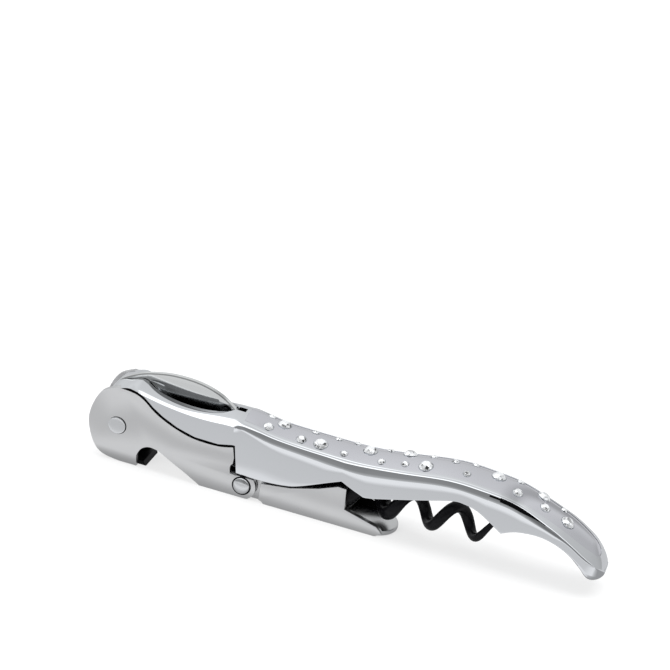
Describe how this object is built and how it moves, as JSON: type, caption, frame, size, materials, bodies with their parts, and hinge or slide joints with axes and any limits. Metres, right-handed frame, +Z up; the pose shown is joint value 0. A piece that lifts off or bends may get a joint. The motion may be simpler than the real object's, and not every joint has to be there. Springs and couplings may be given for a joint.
{
  "type": "lever corkscrew",
  "caption": "Folding double-lever corkscrew with an S-curved crystal-set handle, foil knife, coated worm and a hinged two-step lever with a bottle opener.",
  "frame": {"origin": "middle of the length and width, at the flat belly of the folded lever links", "axes": "+X from the lever head to the handle's tail, +Y across the tool away from the viewer, +Z up from the belly to the spine"},
  "size_m": [0.1225, 0.0128, 0.0231],
  "materials": {
    "handle_chrome": "polished chrome over a cast and pressed body",
    "cover_chrome": "polished chrome panel, slightly darker",
    "crystal": "clear faceted stones",
    "rivet_steel": "turned steel, domed ends",
    "washer_nylon": "dark nylon",
    "washer_steel": "plain steel washer",
    "link_steel": "satin pressed steel sheet",
    "worm_coating": "black low-friction coating over steel wire",
    "ferrule_steel": "black coated steel",
    "blade_steel": "polished blade",
    "spring_steel": "blued spring leaf"
  },
  "bodies": {
    "handle": {"handle_frame": "handle_chrome", "spine_cover": "cover_chrome", "crystals_large": "crystal", "crystals_medium": "crystal", "crystals_small": "crystal", "lever_rivet": "rivet_steel", "lever_washers": "washer_nylon", "worm_pin": "rivet_steel", "worm_spacers": "washer_nylon", "knife_pin": "rivet_steel", "knife_washers": "washer_steel", "backspring": "spring_steel", "spring_pin": "rivet_steel"},
    "first_link": {"upper_link": "link_steel", "elbow_rivet": "rivet_steel", "elbow_washers": "washer_steel"},
    "second_link": {"lower_link": "link_steel"},
    "worm": {"worm": "worm_coating", "worm_ferrule": "ferrule_steel"},
    "knife": {"knife_blade": "blade_steel"}
  },
  "joints": [
    {"name": "lever_swing", "type": "hinge", "parent": "handle", "child": "first_link", "pos_m": [-0.05445, 0, 0.0092], "axis": [0, 1, 0], "range_deg": [0, 100]},
    {"name": "elbow_swing", "type": "hinge", "parent": "first_link", "child": "second_link", "pos_m": [-0.02305, 0, 0.003], "axis": [0, 1, 0], "range_deg": [0, 95]},
    {"name": "worm_swing", "type": "hinge", "parent": "handle", "child": "worm", "pos_m": [-0.01545, 0, 0.0092], "axis": [0, 1, 0], "range_deg": [0, 90]},
    {"name": "knife_swing", "type": "hinge", "parent": "handle", "child": "knife", "pos_m": [-0.05445, 0, 0.0162], "axis": [0, 1, 0], "range_deg": [-130, 0]}
  ],
  "couplings": [
    {"joint": "worm_swing", "follows": "lever_swing", "ratio": 0.9}
  ]
}
